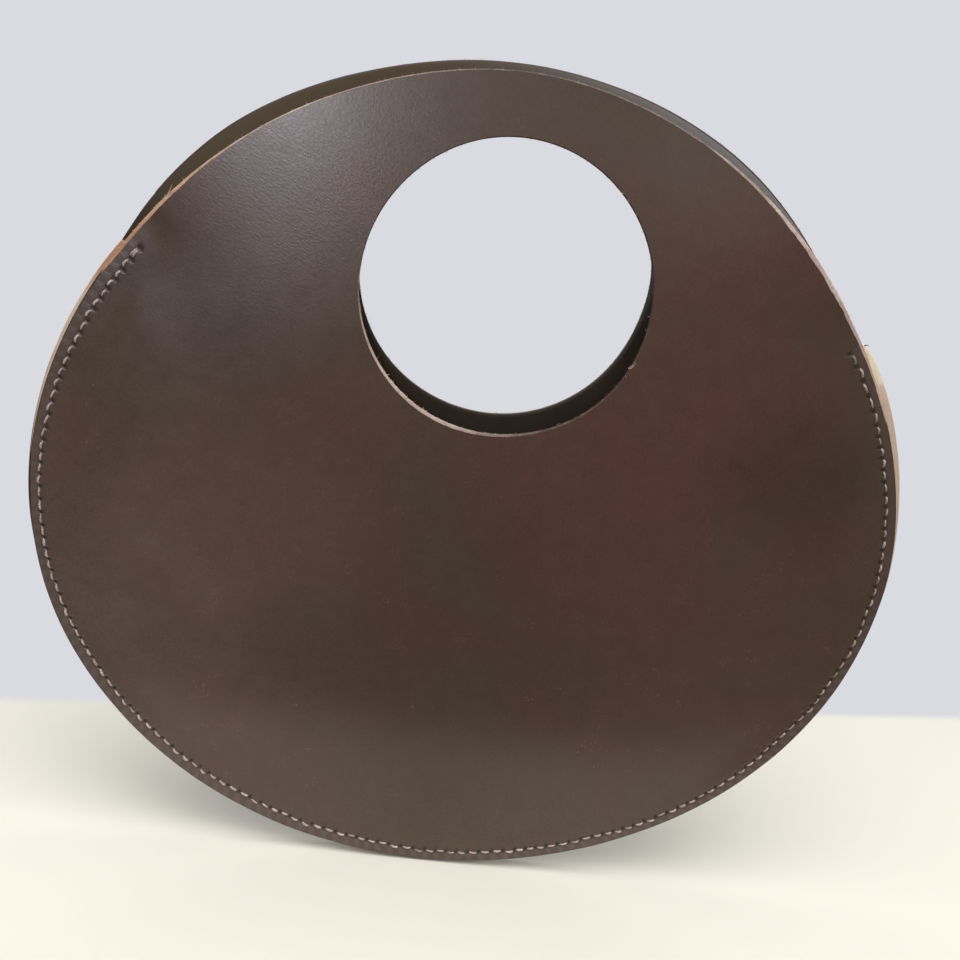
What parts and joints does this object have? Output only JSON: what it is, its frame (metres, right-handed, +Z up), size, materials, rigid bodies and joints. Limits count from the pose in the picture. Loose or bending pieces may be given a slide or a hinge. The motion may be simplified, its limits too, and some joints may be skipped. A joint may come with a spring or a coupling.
{
  "type": "leather handbag",
  "caption": "Flat egg-shaped leather clutch bag with a round handle opening through both panels, sewn over a natural welt, with an open flexing mouth.",
  "frame": {"origin": "middle of the bag's depth and width, level with the lowest point of its rim", "axes": "+X across the bag to the right as seen from the front, +Y from the front panel to the back panel, +Z up to the handle"},
  "size_m": [0.3432, 0.0134, 0.3209],
  "materials": {
    "dyed_leather": "smooth, semi-matte, mottled dark brown",
    "natural_leather": "undyed, matte"
  },
  "bodies": {
    "root": {"front_panel": "dyed_leather", "back_panel": "dyed_leather", "seam_welt": "natural_leather"},
    "front_arch": {"front_handle_arch": "dyed_leather"},
    "back_arch": {"back_handle_arch": "dyed_leather"}
  },
  "joints": [
    {"name": "front_arch_flex", "type": "hinge", "parent": "root", "child": "front_arch", "pos_m": [0, -0.0067, 0.2365], "axis": [1, 0, 0], "range_deg": [-3, 20], "stiffness_Nm_per_rad": 0.4},
    {"name": "back_arch_flex", "type": "hinge", "parent": "root", "child": "back_arch", "pos_m": [0, 0.0067, 0.2365], "axis": [-1, 0, 0], "range_deg": [-3, 20], "stiffness_Nm_per_rad": 0.4}
  ]
}
